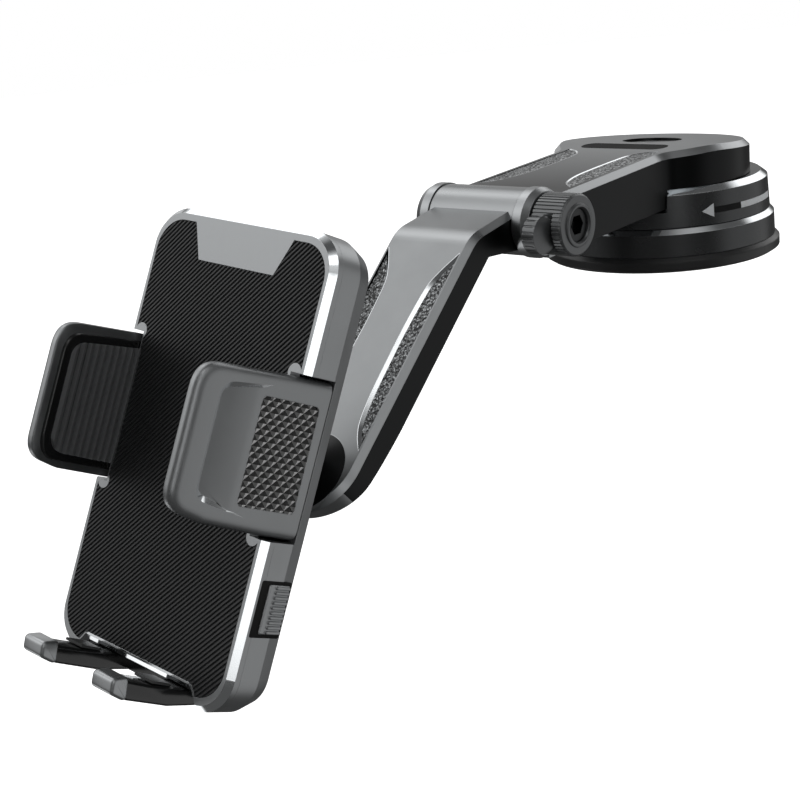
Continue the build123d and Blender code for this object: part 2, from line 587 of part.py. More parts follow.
with BuildPart() as front_plate:
    extrude(rounded(SEAM_Z, 0, PLATE_R), amount=FRONT_Z - SEAM_Z)
    chamfer(front_plate.faces().sort_by(Axis(CRADLE.origin, CRADLE.z_dir))[-1].edges(), length=FRONT_BEVEL)
    for side in (1, -1):
        extrude(
            block(level(SEAM_Z - 1), sorted((side * JAW_SLOT_IN, side * 33)), (-JAW_SLOT_HALF, JAW_SLOT_HALF)),
            amount=6, mode=Mode.SUBTRACT,
        )
    extrude(outline(level(SEAM_Z - 1), FOOT_OPENING), amount=6, mode=Mode.SUBTRACT)
    extrude(pad_face(FRONT_Z - 1.0, 0.1), amount=2, mode=Mode.SUBTRACT)
    with BuildSketch(level(SEAM_Z - 0.1)):
        with Locations(*CORNER_SCREWS):
            Circle(1.15 + SCREW_GAP)
    extrude(amount=1.7, mode=Mode.SUBTRACT)

with BuildPart() as front_pad:
    extrude(pad_face(FRONT_Z - 0.98), amount=1.5)

# ---------------------------------------------------------------- rack and pinion
PITCH_R = MODULE * PINION_TEETH / 2
PITCH = pi * MODULE


def involute_half(radius, half_pitch):
    """Half angle of a pinion tooth at the given radius."""
    base = PITCH_R * cos(radians(PRESSURE))
    at_pitch = tan(radians(PRESSURE)) - radians(PRESSURE)
    angle = acos(min(1.0, base / radius))
    return half_pitch / PITCH_R + at_pitch - (tan(angle) - angle)


def pinion_points():
    """Closed outline of the pinion, one tooth pointing up."""
    half = (PITCH / 2 - 0.1) / 2
    base, tip, root = PITCH_R * cos(radians(PRESSURE)), PITCH_R + ADDENDUM, PITCH_R - DEDENDUM
    radii = [base + (tip - base) * k / 5 for k in range(6)]
    points = []
    for tooth in range(PINION_TEETH):
        middle = pi / 2 + 2 * pi * tooth / PINION_TEETH
        flank = [(r, involute_half(r, half)) for r in radii]
        flank = [(root, flank[0][1] + 0.02)] + flank
        points += [(r * cos(middle - a), r * sin(middle - a)) for r, a in flank]
        points += [(r * cos(middle + a), r * sin(middle + a)) for r, a in reversed(flank)]
    return points


def rack_points(turned):
    """Closed outline of a rack whose teeth point at the pinion."""
    half = (PITCH / 2 - BACKLASH) / 2
    slope = tan(radians(PRESSURE))
    tip_y, root_y = PITCH_R - ADDENDUM, PITCH_R + DEDENDUM
    points = [(29.3, RACK_BACK), (-21.0, RACK_BACK), (-21.0, root_y)]
    for tooth in range(-6, 2):
        middle = (tooth + 0.5) * PITCH
        points += [(middle - half - DEDENDUM * slope, root_y), (middle - half + ADDENDUM * slope, tip_y),
                   (middle + half - ADDENDUM * slope, tip_y), (middle + half + DEDENDUM * slope, root_y)]
    points += [(29.3, root_y)]
    return [(turned * x, turned * y) for x, y in points]


with BuildPart() as pinion:
    extrude(outline(level(PINION_Z), pinion_points()), amount=PINION_T)
    with BuildSketch(level(PINION_Z)):
        Circle(PINION_BORE)
    extrude(amount=PINION_T, mode=Mode.SUBTRACT)

with BuildPart() as pinion_clip:
    with BuildSketch(level(PINION_Z + PINION_T + 0.1)):
        Circle(4.2)
        Circle(PINION_BORE - GAP + SCREW_GAP, mode=Mode.SUBTRACT)
    extrude(amount=0.8)

# ---------------------------------------------------------------- jaws
JAW_OUTLINE = [(-18.4, 0), (-18.3, 9), (-17.6, 24.5), (-15.8, 31.5), (-9.6, 36), (12.0, 36), (17.0, 31.2), (18.3, 9),
               (18.4, 0)]
JAW_PAD_OUTLINE = [(-16.0, 10.6), (-15.4, 24), (-13.6, 30.2), (-8.8, 33.6), (11.0, 33.6), (14.8, 29.8), (16.0, 10.6)]


def jaw_plane(side):
    """Outer face of a jaw: X along the cradle's height, Y towards the jaw's tip."""
    angle = radians(JAW_LEAN)
    return on_cradle(Plane(origin=(side * PLATE_W / 2, 0, JAW_Z), x_dir=(0, side, 0),
                           z_dir=(side * cos(angle), 0, sin(angle))))


def flip(points, side):
    """The same outline, kept the same way up on the other jaw."""
    return [(side * x, y) for x, y in points]


def jaw_body(side):
    """A clamping plate with its rack."""
    with BuildPart() as jaw:
        extrude(outline(jaw_plane(side), flip(JAW_OUTLINE, side)), amount=-JAW_T)
        extrude(outline(level(RACK_Z), rack_points(side)), amount=RACK_T)
    return jaw


def jaw_rubber(side):
    """Ribbed rubber lining of one jaw."""
    with BuildPart() as rubber:
        extrude(outline(jaw_plane(side).offset(-JAW_T), flip(JAW_PAD_OUTLINE, side)), amount=-JAW_PAD_T)
    return rubber


right_jaw, left_jaw = jaw_body(1), jaw_body(-1)
right_jaw_pad, left_jaw_pad = jaw_rubber(1), jaw_rubber(-1)


# ---------------------------------------------------------------- release buttons
def release_button(side):
    """Push button with eight grip ridges and an inner flange that keeps it in the wall."""
    face_x = PLATE_W / 2 + BUTTON_PROUD
    low, high = BUTTON_Y - BUTTON_L / 2, BUTTON_Y + BUTTON_L / 2
    with BuildPart() as button:
        extrude(block(level(BUTTON_Z - BUTTON_W / 2), sorted((side * 28.0, side * (face_x - 0.6))), (low, high)),
                amount=BUTTON_W)
        extrude(block(level(BUTTON_Z - 3.1), sorted((side * 26.4, side * 29.0)), (low - 1.5, high + 1.5)), amount=6.6)
        pitch = BUTTON_L / 8
        for ridge in range(8):
            bottom = low + ridge * pitch + 0.2
            extrude(block(level(BUTTON_Z - BUTTON_W / 2), sorted((side * (face_x - 0.7), side * face_x)),
                          (bottom, bottom + pitch - 0.5)), amount=BUTTON_W)
    return button


right_button, left_button = release_button(1), release_button(-1)

# ---------------------------------------------------------------- foot
LEG_SIDE = [(-61.8, 18.6), (-62.0, 30.0), (-60.3, 44.4), (-58.8, 47.6), (-55.7, 47.9), (-55.2, 45.0), (-56.6, 37.0),
            (-57.6, 28.0), (-57.6, 18.6)]
LEG_PAD_SIDE = [(-57.36, 30.0), (-56.69, 36.0), (-56.09, 36.0), (-56.76, 30.0)]

with BuildPart() as foot_slide:
    extrude(block(level(18.6), (-FOOT_HALF, FOOT_HALF), (-61.0, -30)), amount=3.8)
    extrude(outline(level(18.6), [(-19.4, -56.4), (19.4, -56.4), (22.5, -61.0), (-22.5, -61.0)]), amount=8.0)
    for side in (1, -1):
        leg_plane = on_cradle(Plane.YZ.offset(side * (LEG_IN + LEG_OUT) / 2))
        extrude(outline(leg_plane, LEG_SIDE), amount=(LEG_OUT - LEG_IN) / 2, both=True)

with BuildPart() as foot_pads:
    for side in (1, -1):
        leg_plane = on_cradle(Plane.YZ.offset(side * (LEG_IN + LEG_OUT) / 2))
        extrude(outline(leg_plane, LEG_PAD_SIDE), amount=(LEG_OUT - LEG_IN) / 2 - 0.6, both=True)

# ---------------------------------------------------------------- files
pieces = {
    "gel_disc": gel_disc, "base_skirt": base_skirt, "lock_dial": lock_dial, "lift_plunger": lift_plunger,
    "cam_pin": cam_pin, "hub_screws": hub_screws, "base_arm": base_arm, "base_arm_inlays": base_arm_inlays,
    "base_arm_cover": base_arm_cover, "base_cover_screws": base_cover_screws, "hinge_bolt": hinge_bolt,
    "hinge_nut": hinge_nut, "hinge_knob": hinge_knob, "friction_washers": friction_washers,
    "lower_arm": lower_arm, "lower_arm_inlays": lower_arm_inlays, "lower_arm_cover": lower_arm_cover,
    "lower_cover_screws": lower_cover_screws, "ball_stud": ball_stud, "ball_liner": ball_liner,
    "ball_nut": ball_nut, "ball_socket": ball_socket, "socket_screws": socket_screws, "rear_shell": rear_shell,
    "shell_screws": shell_screws, "front_plate": front_plate, "front_pad": front_pad, "pinion": pinion,
    "pinion_clip": pinion_clip, "right_jaw": right_jaw, "left_jaw": left_jaw, "right_jaw_pad": right_jaw_pad,
    "left_jaw_pad": left_jaw_pad, "right_button": right_button, "left_button": left_button,
    "foot_slide": foot_slide, "foot_pads": foot_pads,
}
for label, piece in pieces.items():
    piece.part.label = label
    export_step(piece.part, f"parts/{label}.step")
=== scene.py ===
"""Looks of the car phone mount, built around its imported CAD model."""
import json
import math

import bmesh
import bpy
from mathutils import Matrix, Vector


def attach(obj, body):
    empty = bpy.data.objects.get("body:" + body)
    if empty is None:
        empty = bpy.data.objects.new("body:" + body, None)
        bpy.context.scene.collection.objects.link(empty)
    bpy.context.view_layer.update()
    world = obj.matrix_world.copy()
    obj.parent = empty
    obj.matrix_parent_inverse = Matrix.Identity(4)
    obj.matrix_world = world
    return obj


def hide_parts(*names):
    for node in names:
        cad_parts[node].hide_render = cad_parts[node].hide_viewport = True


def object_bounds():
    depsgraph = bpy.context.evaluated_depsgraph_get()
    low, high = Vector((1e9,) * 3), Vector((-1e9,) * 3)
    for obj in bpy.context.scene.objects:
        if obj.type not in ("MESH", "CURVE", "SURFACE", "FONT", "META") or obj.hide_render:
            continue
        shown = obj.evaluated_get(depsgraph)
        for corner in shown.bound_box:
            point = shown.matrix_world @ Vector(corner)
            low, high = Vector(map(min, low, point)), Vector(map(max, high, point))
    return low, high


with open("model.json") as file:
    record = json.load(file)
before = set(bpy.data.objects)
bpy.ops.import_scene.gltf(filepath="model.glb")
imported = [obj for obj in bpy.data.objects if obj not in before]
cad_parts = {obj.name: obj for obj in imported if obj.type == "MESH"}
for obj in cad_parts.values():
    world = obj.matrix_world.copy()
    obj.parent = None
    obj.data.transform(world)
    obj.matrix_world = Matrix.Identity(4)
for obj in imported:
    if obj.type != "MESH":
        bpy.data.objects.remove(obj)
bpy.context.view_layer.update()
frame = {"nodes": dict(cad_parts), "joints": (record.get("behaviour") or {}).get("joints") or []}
MM = 0.001

# ------------------------------------------------------------------ frames
joints = {j["name"]: j for j in frame["joints"]}


def axes_frame(origin, x_axis, z_axis):
    """Frame with the given origin (metres), X and Z directions."""
    z = Vector(z_axis).normalized()
    x = (Vector(x_axis) - z * z.dot(Vector(x_axis))).normalized()
    matrix = Matrix((x, z.cross(x), z)).transposed().to_4x4()
    matrix.translation = Vector(origin)
    return matrix


ball = Vector(joints["cradle_turn"]["pos_m"])
normal = Vector(joints["cradle_turn"]["axis"])
upward = Vector(joints["ball_yaw"]["axis"])
CRADLE = axes_frame(ball, upward.cross(normal), normal)
hinge = Vector(joints["elbow"]["pos_m"])
HINGE = axes_frame(hinge, (0, 1, 0), (1, 0, 0))
WORLD = Matrix.Identity(4)


# ------------------------------------------------------------------ materials
class Nodes:
    """Short hand for building a node tree."""

    def __init__(self, tree):
        self.tree = tree

    def add(self, kind, **settings):
        node = self.tree.nodes.new(kind)
        inputs = settings.pop("inputs", {})
        for key, value in settings.items():
            setattr(node, key, value)
        for key, value in inputs.items():
            if isinstance(value, bpy.types.NodeSocket):
                self.tree.links.new(value, node.inputs[key])
            else:
                node.inputs[key].default_value = value
        return node

    def math(self, operation, a, b=0.0, clamp=False):
        node = self.add("ShaderNodeMath", operation=operation, use_clamp=clamp)
        for index, value in enumerate((a, b)):
            if isinstance(value, bpy.types.NodeSocket):
                self.tree.links.new(value, node.inputs[index])
            else:
                node.inputs[index].default_value = value
        return node.outputs[0]


def rgb(value, tint=(1.0, 1.0, 1.0)):
    """A grey with a slight tint, as a colour with alpha."""
    return (value * tint[0], value * tint[1], value * tint[2], 1.0)


COOL = (0.97, 1.0, 1.02)


def facing(nodes, axis, start, end):
    """Mask that is 1 on faces whose own normal lies between two cosines of an axis, whatever its sign."""
    own = nodes.add("ShaderNodeTexCoord").outputs["Normal"]
    dot = nodes.add("ShaderNodeVectorMath", operation="DOT_PRODUCT", inputs={0: own, 1: Vector(axis)})
    size = nodes.math("ABSOLUTE", dot.outputs["Value"])
    return nodes.math("MULTIPLY", nodes.math("GREATER_THAN", size, start), nodes.math("LESS_THAN", size, end))


def above(nodes, point, axis, reach):
    """Mask that is 1 within reach of a point, on the side its axis points to."""
    place = nodes.add("ShaderNodeTexCoord").outputs["Object"]
    offset = nodes.add("ShaderNodeVectorMath", operation="SUBTRACT",
                       inputs={0: place, 1: Vector(point)}).outputs[0]
    height = nodes.add("ShaderNodeVectorMath", operation="DOT_PRODUCT", inputs={0: offset, 1: Vector(axis)})
    far = nodes.add("ShaderNodeVectorMath", operation="LENGTH", inputs={0: offset})
    return nodes.math("MULTIPLY", nodes.math("GREATER_THAN", height.outputs["Value"], 0.06 * MM),
                      nodes.math("LESS_THAN", far.outputs["Value"], reach))


def beyond(nodes, axis, distance):
    """Mask that is 1 where the place along an axis is more than a distance."""
    place = nodes.add("ShaderNodeTexCoord").outputs["Object"]
    along = nodes.add("ShaderNodeVectorMath", operation="DOT_PRODUCT", inputs={0: place, 1: Vector(axis)})
    return nodes.math("GREATER_THAN", along.outputs["Value"], distance)


def painted_shade_on_base_arm(nodes):
    """Painted shade mask of the base arm: its walls, and its top from the hub (0) down to the hinge (1),
    darkening towards the hinge.
    """
    place = nodes.add("ShaderNodeSeparateXYZ", inputs={0: nodes.add("ShaderNodeTexCoord").outputs["Object"]})
    fade = nodes.add("ShaderNodeMapRange", inputs={"Value": place.outputs["Y"], "From Min": -74 * MM,
                                                   "From Max": -24 * MM, "To Min": 0.97, "To Max": 0.0})
    top = nodes.math("MULTIPLY", facing(nodes, (0, 0, 1), 0.93, 1.1), fade.outputs[0])
    return nodes.math("MULTIPLY", nodes.math("MAXIMUM", facing(nodes, (0, 0, 1), -0.1, 0.12), top),
                      beyond(nodes, (0, 1, 0), -80 * MM))


def plastic(name, tone, metallic, roughness, grain=0.02, grain_size=4200.0, mottle=0.06, edge=0.35,
            edge_wear=0.10, coat=0.0, painted_shade_mask=None, painted_highlight_mask=None):
    """Moulded plastic: fine texture in the bump, uneven gloss, rounded edges that are a little worn.

    The two masks recolour areas of the same moulding: near-black areas as painted shade, and bright
    near-white mirror areas as painted highlight."""
    material = bpy.data.materials.new(name)
    material.use_nodes = True
    nodes = Nodes(material.node_tree)
    shader = material.node_tree.nodes["Principled BSDF"]
    coords = nodes.add("ShaderNodeTexCoord").outputs["Object"]
    fine = nodes.add("ShaderNodeTexNoise", inputs={"Vector": coords, "Scale": grain_size, "Detail": 3.0})
    broad = nodes.add("ShaderNodeTexNoise", inputs={"Vector": coords, "Scale": 60.0, "Detail": 4.0})
    bevel = nodes.add("ShaderNodeBevel", samples=4, inputs={"Radius": edge * MM})
    geometry = nodes.add("ShaderNodeNewGeometry")
    rounding = nodes.add("ShaderNodeVectorMath", operation="DOT_PRODUCT",
                         inputs={0: bevel.outputs[0], 1: geometry.outputs["Normal"]})
    worn = nodes.math("SUBTRACT", 1.0, rounding.outputs["Value"], clamp=True)
    worn = nodes.math("MULTIPLY", worn, 4.0, clamp=True)
    worn = nodes.math("MULTIPLY", worn, broad.outputs[0])
    bump = nodes.add("ShaderNodeBump", inputs={"Strength": grain * 6, "Distance": grain * MM,
                                               "Height": fine.outputs[0], "Normal": bevel.outputs[0]})
    ramp = nodes.add("ShaderNodeMapRange",
                     inputs={"Value": broad.outputs[0], "From Min": 0.3, "From Max": 0.7,
                             "To Min": 1.0 - mottle, "To Max": 1.0 + mottle})
    base = nodes.add("ShaderNodeMix", data_type="RGBA",
                     inputs={"Factor": nodes.math("MULTIPLY", worn, edge_wear)})
    base.inputs["A"].default_value = rgb(tone, COOL)
    base.inputs["B"].default_value = rgb(min(1.0, tone * 2.2), COOL)
    tinted = nodes.add("ShaderNodeVectorMath", operation="SCALE",
                       inputs={0: base.outputs["Result"], "Scale": ramp.outputs[0]})
    rough = nodes.add("ShaderNodeMapRange",
                      inputs={"Value": broad.outputs[0], "From Min": 0.25, "From Max": 0.75,
                              "To Min": roughness * 0.88, "To Max": roughness * 1.12})
    colour, metal, gloss = tinted.outputs[0], metallic, rough.outputs[0]
    # painted shade: near-black areas; painted highlight: bright near-white mirror areas, both on one moulding
    for make, area_tone, area_metal, area_gloss in ((painted_shade_mask, 0.022, 1.0, 0.30), (painted_highlight_mask, 0.93, 1.0, 0.12)):
        if make is None:
            continue
        mask = make(nodes)
        area = nodes.add("ShaderNodeMix", data_type="RGBA", inputs={"Factor": mask})
        material.node_tree.links.new(colour, area.inputs["A"])
        area.inputs["B"].default_value = rgb(area_tone, COOL)
        colour = area.outputs["Result"]
        metal = nodes.add("ShaderNodeMix", data_type="FLOAT",
                          inputs={"Factor": mask, "A": metal, "B": area_metal}).outputs["Result"]
        gloss = nodes.add("ShaderNodeMix", data_type="FLOAT",
                          inputs={"Factor": mask, "A": gloss, "B": area_gloss}).outputs["Result"]
    material.node_tree.links.new(colour, shader.inputs["Base Color"])
    material.node_tree.links.new(gloss, shader.inputs["Roughness"])
    material.node_tree.links.new(bump.outputs[0], shader.inputs["Normal"])
    if isinstance(metal, bpy.types.NodeSocket):
        material.node_tree.links.new(metal, shader.inputs["Metallic"])
    else:
        shader.inputs["Metallic"].default_value = metal
    shader.inputs["Coat Weight"].default_value = coat
    shader.inputs["Coat Roughness"].default_value = 0.15
    return material


def painted_light_points(name, tones):
    """Facets with painted light and shade: each gets a grey by the side it faces; tones are (direction, grey)
    pairs.
    """
    material = plastic(name, 0.1, 0.3, 0.35, edge=0.05)
    nodes = Nodes(material.node_tree)
    own = nodes.add("ShaderNodeTexCoord").outputs["Normal"]
    total = None
    for direction, grey in tones:
        fit = nodes.add("ShaderNodeVectorMath", operation="DOT_PRODUCT",
                        inputs={0: own, 1: Vector(direction)})
        share = nodes.math("MULTIPLY", nodes.math("GREATER_THAN", fit.outputs["Value"], 0.42), grey)
        total = share if total is None else nodes.math("ADD", total, share)
    flat = nodes.add("ShaderNodeCombineColor", inputs={"Red": total, "Green": total, "Blue": total})
    shader = material.node_tree.nodes["Principled BSDF"]
    material.node_tree.links.new(flat.outputs[0], shader.inputs["Base Color"])
    return material


def crushed_grain(name, dark, light):
    """Coarse sparkling grain of the inlays: small raised shards over a dark ground."""
    material = bpy.data.materials.new(name)
    material.use_nodes = True
    nodes = Nodes(material.node_tree)
    shader = material.node_tree.nodes["Principled BSDF"]
    coords = nodes.add("ShaderNodeTexCoord").outputs["Object"]
    warp = nodes.add("ShaderNodeTexNoise", inputs={"Vector": coords, "Scale": 900.0, "Detail": 2.0})
    bent = nodes.add("ShaderNodeMix", data_type="RGBA", blend_type="LINEAR_LIGHT", inputs={"Factor": 0.0006})
    material.node_tree.links.new(coords, bent.inputs["A"])
    material.node_tree.links.new(warp.outputs["Color"], bent.inputs["B"])
    cells = nodes.add("ShaderNodeTexVoronoi", feature="F1",
                      inputs={"Vector": bent.outputs["Result"], "Scale": 1250.0, "Randomness": 1.0})
    shard = nodes.add("ShaderNodeMapRange", inputs={"Value": cells.outputs["Distance"], "From Min": 0.15,
                                                    "From Max": 0.75, "To Min": 1.0, "To Max": 0.0})
    speck = nodes.add("ShaderNodeTexNoise", inputs={"Vector": coords, "Scale": 1900.0, "Detail": 2.0})
    lit = nodes.math("MULTIPLY", shard.outputs[0], nodes.math("SUBTRACT", speck.outputs[0], 0.34))
    blend = nodes.add("ShaderNodeMix", data_type="RGBA",
                      inputs={"Factor": nodes.math("MULTIPLY", lit, 4.6, True)})
    blend.inputs["A"].default_value = rgb(dark, COOL)
    blend.inputs["B"].default_value = rgb(light, COOL)
    bump = nodes.add("ShaderNodeBump",
                     inputs={"Strength": 1.0, "Distance": 0.35 * MM, "Height": shard.outputs[0]})
    material.node_tree.links.new(blend.outputs["Result"], shader.inputs["Base Color"])
    material.node_tree.links.new(bump.outputs[0], shader.inputs["Normal"])
    shader.inputs["Roughness"].default_value = 0.36
    shader.inputs["Metallic"].default_value = 0.35
    return material


SIDEWAYS, PLATE_NORMAL = (1, 0, 0), tuple(normal)
FACE_LEAN = math.radians(47.8)
FACE_NORMAL = (0, -math.cos(FACE_LEAN), math.sin(FACE_LEAN))
FACE = axes_frame(Vector((0, -114.71, 27.52)) * MM, (1, 0, 0), FACE_NORMAL)
STUD = FACE @ (Vector((0, -75.0, 0)) * MM)
TOP = axes_frame(Vector((0, 0, 37.9)) * MM, (1, 0, 0), (0, -0.055, 1))

MATERIALS = {
    "cradle": plastic("cradle_satin", 0.36, 0.85, 0.34),
    # plate: its chamfer band, picked by facing, is a bright mirror patch as painted highlight
    "plate": plastic("plate_satin", 0.36, 0.85, 0.34, edge=0.12,
                     painted_highlight_mask=lambda n: facing(n, PLATE_NORMAL, 0.6, 0.85)),
    "jaw": plastic("jaw_satin", 0.34, 0.85, 0.36, grain=0.025),
    # lower arm: sideways walls and the boss round the ball stud are painted near-black as painted shade
    "lower_arm": plastic("arm_satin", 0.34, 0.95, 0.30, edge=0.3,
                         painted_shade_mask=lambda n: n.math("MAXIMUM", facing(n, SIDEWAYS, 0.9, 1.1),
                                                above(n, STUD, FACE_NORMAL, 12.4 * MM))),
    # base arm: walls and top painted near-black, fading out towards the hub, as painted shade
    "base_arm": plastic("base_arm_satin", 0.40, 0.95, 0.30, edge=0.3, painted_shade_mask=painted_shade_on_base_arm),
    "arm_side": plastic("arm_side_black", 0.016, 0.0, 0.30, edge=0.3),
    # base: its upward-sloping chamfers are a bright mirror patch as painted highlight
    "base": plastic("base_satin", 0.085, 0.75, 0.26, edge=0.3,
                    painted_highlight_mask=lambda n: facing(n, (0, 0, 1), 0.5, 0.93)),
    "knob": plastic("knob_satin", 0.16, 0.75, 0.34, edge=0.12),
    "gloss": plastic("foot_gloss", 0.012, 0.0, 0.16, grain=0.008, coat=0.4),
    "gel": plastic("gel_rubber", 0.030, 0.2, 0.36, grain=0.03, edge=0.6),
    "rubber": plastic("pad_rubber", 0.050, 0.25, 0.42, grain=0.03, edge=0.12),
    # near-black: painted shade in the slot and the button wells, and the black part of the lock arrow's shaft
    "deep": plastic("black_mark_and_painted_shade", 0.003, 0.0, 0.85, grain=0.02),
    "nylon": plastic("natural_nylon", 0.62, 0.0, 0.42, mottle=0.04),
    "steel": plastic("zinc_steel", 0.62, 1.0, 0.27),
    "black_steel": plastic("black_oxide_steel", 0.05, 1.0, 0.30),
    # grey on the tips of the black foot, as painted highlight
    "tip": plastic("foot_tip_painted_highlight", 0.42, 0.8, 0.28, edge=0.3),
    # near-white mirror as painted highlight on the groove steps, the jaw recess walls and the foot opening's
    # edge
    "trim": plastic("mirror_painted_highlight", 0.93, 1.0, 0.12, edge=0.05),
    "paint": plastic("mark_white", 0.88, 0.0, 0.5, mottle=0.02, edge_wear=0.0),
    "jaw_rib": plastic("jaw_rib_rubber", 0.19, 0.4, 0.36, edge=0.12),
    "grain": crushed_grain("crushed_grain", 0.006, 0.85),
}
CAD_LOOK = {
    "gel_disc": "gel", "base_skirt": "base", "lock_dial": "base", "lift_plunger": "nylon",
    "cam_pin": "steel", "hub_screws": "steel", "base_arm": "base_arm", "base_arm_inlays": "grain",
    "base_arm_cover": "base", "base_cover_screws": "steel", "hinge_bolt": "black_steel",
    "hinge_nut": "steel", "hinge_knob": "knob", "friction_washers": "nylon", "lower_arm": "lower_arm",
    "lower_arm_inlays": "grain", "lower_arm_cover": "arm_side", "lower_cover_screws": "steel",
    "ball_stud": "gloss", "ball_liner": "nylon", "ball_nut": "knob", "ball_socket": "cradle",
    "socket_screws": "steel", "rear_shell": "cradle", "shell_screws": "steel", "front_plate": "plate",
    "front_pad": "rubber", "pinion": "nylon", "pinion_clip": "steel", "right_jaw": "jaw",
    "left_jaw": "jaw", "right_jaw_pad": "rubber", "left_jaw_pad": "rubber", "right_button": "knob",
    "left_button": "knob", "foot_slide": "gloss", "foot_pads": "rubber",
}
for node, look in CAD_LOOK.items():
    data = frame["nodes"][node].data
    data.materials.clear()
    data.materials.append(MATERIALS[look])

# ------------------------------------------------------------------ mesh helpers


def inset(points, amount):
    """A counterclockwise outline moved in by amount."""
    moved = []
    for index, point in enumerate(points):
        here = Vector(point)
        before = (here - Vector(points[index - 1])).normalized()
        after = (Vector(points[(index + 1) % len(points)]) - here).normalized()
        first, second = Vector((-before.y, before.x)), Vector((-after.y, after.x))
        middle = (first + second).normalized()
        moved.append(tuple(here + middle * (amount / max(0.5, middle.dot(first)))))
    return moved


def rounded(corners, steps=7):
    """Outline with its corners rounded; each corner is (x, y, radius)."""
    points = []
    for index, (x, y, radius) in enumerate(corners):
        here = Vector((x, y))
        before = Vector(corners[index - 1][:2]) - here
        after = Vector(corners[(index + 1) % len(corners)][:2]) - here
        half = before.angle(after) / 2
        reach = min(radius / math.tan(half), 0.49 * min(before.length, after.length)) if radius else 0.0
        if reach < 1e-4:
            points.append((x, y))
            continue
        start, end = here + before.normalized() * reach, here + after.normalized() * reach
        for step in range(steps + 1):
            t = step / steps
            points.append(tuple(start * (1 - t) ** 2 + here * 2 * t * (1 - t) + end * t ** 2))
    return points


def counterclockwise(points):
    area = sum(points[i - 1][0] * points[i][1] - points[i][0] * points[i - 1][1] for i in range(len(points)))
    return points if area > 0 else list(reversed(points))


def arc(cx, cy, radius, start, end, steps=10):
    """Points on an arc, angles in degrees."""
    turn = [math.radians(start + (end - start) * k / steps) for k in range(steps + 1)]
    return [(cx + radius * math.cos(a), cy + radius * math.sin(a)) for a in turn]


def loop_of(bm, points, z):
    """Vertices of a closed loop; z is a height or a function of the point."""
    return [bm.verts.new((x, y, z(x, y) if callable(z) else z)) for x, y in points]


def bridge(bm, low, high):
    """Side faces between two loops with the same number of points."""
    for index in range(len(low)):
        bm.faces.new((low[index - 1], low[index], high[index], high[index - 1]))


def stack(bm, points, levels, bottom=True, top=True):
    """Solid made of the same outline at several (z, inset) levels."""
    loops = [loop_of(bm, inset(points, shrink) if shrink else points, z) for z, shrink in levels]
    for low, high in zip(loops, loops[1:]):
        bridge(bm, low, high)
    if bottom:
        bm.faces.new(reversed(loops[0]))
    if top:
        bm.faces.new(loops[-1])
    return loops


def round_over(z_low, z_high, low=0.3, high=0.3, steps=4, squeeze=1.0):
    """Levels of a slab with rounded lower and upper edges."""
    quarter = [math.pi / 2 * step / steps for step in range(steps + 1)]
    rising, falling = [(z_low, 0)], [(z_high, 0)]
    if low:
        rising = [(z_low + low * (1 - math.cos(a)), low * squeeze * (1 - math.sin(a))) for a in quarter]
    if high:
        falling = [(z_high - high + high * math.sin(a), high * squeeze * (1 - math.cos(a))) for a in quarter]
    return rising + falling


def finish(name, bm, matrix, body, look, replaces=(), smooth=35.0, outward=None):
    """Turns mesh code in millimetres of a frame into a piece that rides on a body."""
    bmesh.ops.remove_doubles(bm, verts=bm.verts[:], dist=1e-4)
    bmesh.ops.transform(bm, matrix=matrix @ Matrix.Diagonal((MM, MM, MM, 1)), verts=bm.verts[:])
    bmesh.ops.recalc_face_normals(bm, faces=bm.faces[:])
    if outward and sum(f.normal.dot(outward) * f.calc_area() for f in bm.faces) < 0:
        bmesh.ops.reverse_faces(bm, faces=bm.faces[:])
    data = bpy.data.meshes.new(name)
    bm.to_mesh(data)
    bm.free()
    data.shade_smooth()
    data.set_sharp_from_angle(angle=math.radians(smooth))
    piece = bpy.data.objects.new(name, data)
    bpy.context.scene.collection.objects.link(piece)
    looks = look if isinstance(look, (list, tuple)) else [look]
    for entry in looks:
        data.materials.append(MATERIALS[entry])
    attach(piece, body)
    if replaces:
        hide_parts(*replaces)
    return piece


def ribbed(bm, points, low, high, angle, pitch, land, slope, sink):
    """A slab whose top carries straight ribs: cut by the ribs' edges, then raised and lowered by position."""
    bm.faces.new(loop_of(bm, points, high))
    across = Vector((-math.sin(math.radians(angle)), math.cos(math.radians(angle)), 0))
    spread = [across.dot(v.co) for v in bm.verts]
    for rib in range(math.floor(min(spread) / pitch), math.ceil(max(spread) / pitch) + 1):
        for share in (0.0, slope, slope + land, 2 * slope + land):
            geometry = bm.verts[:] + bm.edges[:] + bm.faces[:]
            place = across * (rib + share) * pitch
            bmesh.ops.bisect_plane(bm, geom=geometry, plane_co=place, plane_no=across, dist=1e-5)
    for vertex in bm.verts:
        phase = (across.dot(vertex.co) / pitch + 1e-4) % 1.0
        rise = min(1.0, phase / slope, max(0.0, (2 * slope + land - phase) / slope))
        vertex.co.z = high - sink * (1 - max(0.0, rise))
    edges = [e for e in bm.edges if e.is_boundary]
    extruded = bmesh.ops.extrude_edge_only(bm, edges=edges)["geom"]
    for vertex in [g for g in extruded if isinstance(g, bmesh.types.BMVert)]:
        vertex.co.z = low


# ------------------------------------------------------------------ front pad
PAD_Z = 26.52


def pad_outline():
    """Right half of the pad from the top's middle to the bottom's middle, then its mirror image."""
    half = [(13.3, 39.0), (17.3, 47.85)] + arc(21.4, 39.85, 8.0, 90, 0, 9)
    half += arc(27.6, 19.0, 2.2, 35, 230, 12) + arc(27.6, -19.0, 2.2, 130, 325, 12)
    half += arc(21.4, -49.85, 8.0, 0, -85, 9) + [(20.4, -55.6)]
    return [(-x, y) for x, y in half] + list(reversed(half))


bm = bmesh.new()
ribbed(bm, pad_outline(), PAD_Z, PAD_Z + 0.98, angle=46.5, pitch=1.0, land=0.40, slope=0.14, sink=0.45)
finish("ribbed_front_pad", bm, CRADLE, "cradle", "rubber", replaces=["front_pad"], smooth=20)

